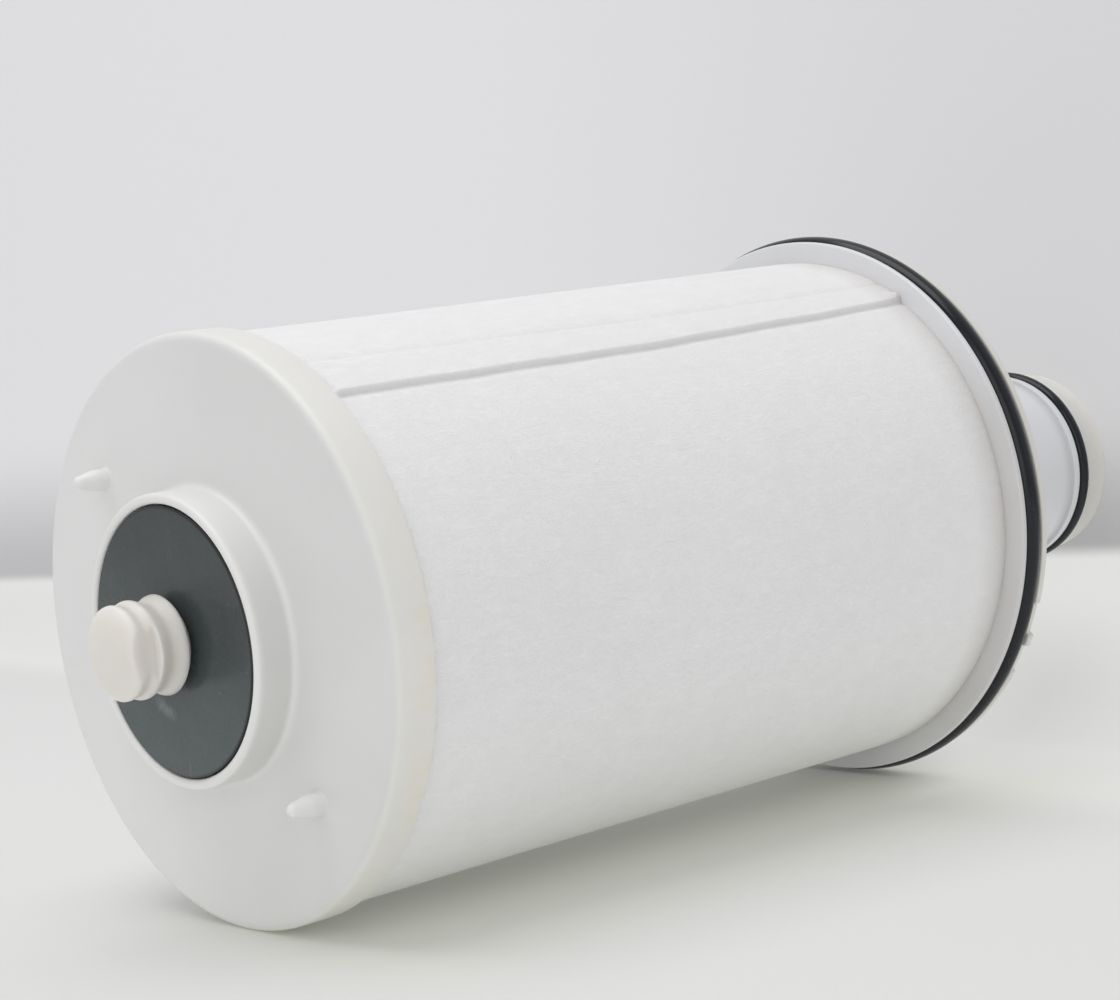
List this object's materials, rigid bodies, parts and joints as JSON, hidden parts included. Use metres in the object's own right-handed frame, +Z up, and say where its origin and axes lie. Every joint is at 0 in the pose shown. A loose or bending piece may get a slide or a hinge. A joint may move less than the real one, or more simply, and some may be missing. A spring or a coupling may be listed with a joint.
{
  "type": "water filter cartridge",
  "caption": "Round water filter cartridge: fabric-wrapped carbon block between a closed cap with a ribbed stem and a flanged outlet with O-rings and a long neck.",
  "frame": {"origin": "centre of the end of the outlet nose, which the cartridge stands on", "axes": "+Z up along the cartridge's axis, from the outlet nose to the closed cap; the stem's two flats face +X and -X"},
  "size_m": [0.1208, 0.1208, 0.2641],
  "materials": {
    "cap_plastic": "satin moulded plastic, pale grey white",
    "disc_rubber": "satin slate grey rubber",
    "cream_plastic": "warm cream white moulded plastic",
    "wrap_fabric": "white nonwoven with fine fibres",
    "pressed_carbon": "matt black pressed carbon",
    "felt": "thin white felt",
    "core_plastic": "plain white plastic",
    "glue": "amber cream set glue",
    "outlet_plastic": "satin moulded plastic, cool white",
    "ring_rubber": "smooth black rubber"
  },
  "bodies": {
    "root": {"closed_end_cap": "cap_plastic", "seal_disc": "disc_rubber", "ribbed_stem": "cream_plastic", "prefilter_wrap": "wrap_fabric", "carbon_block": "pressed_carbon", "fines_sleeve": "felt", "core_tube": "core_plastic", "closed_end_bond": "glue", "outlet_end_bond": "glue", "outlet_end_cap": "outlet_plastic", "outlet_neck": "outlet_plastic", "flange_o_ring": "ring_rubber", "neck_o_ring": "ring_rubber", "nose_ring": "cream_plastic"}
  },
  "joints": []
}
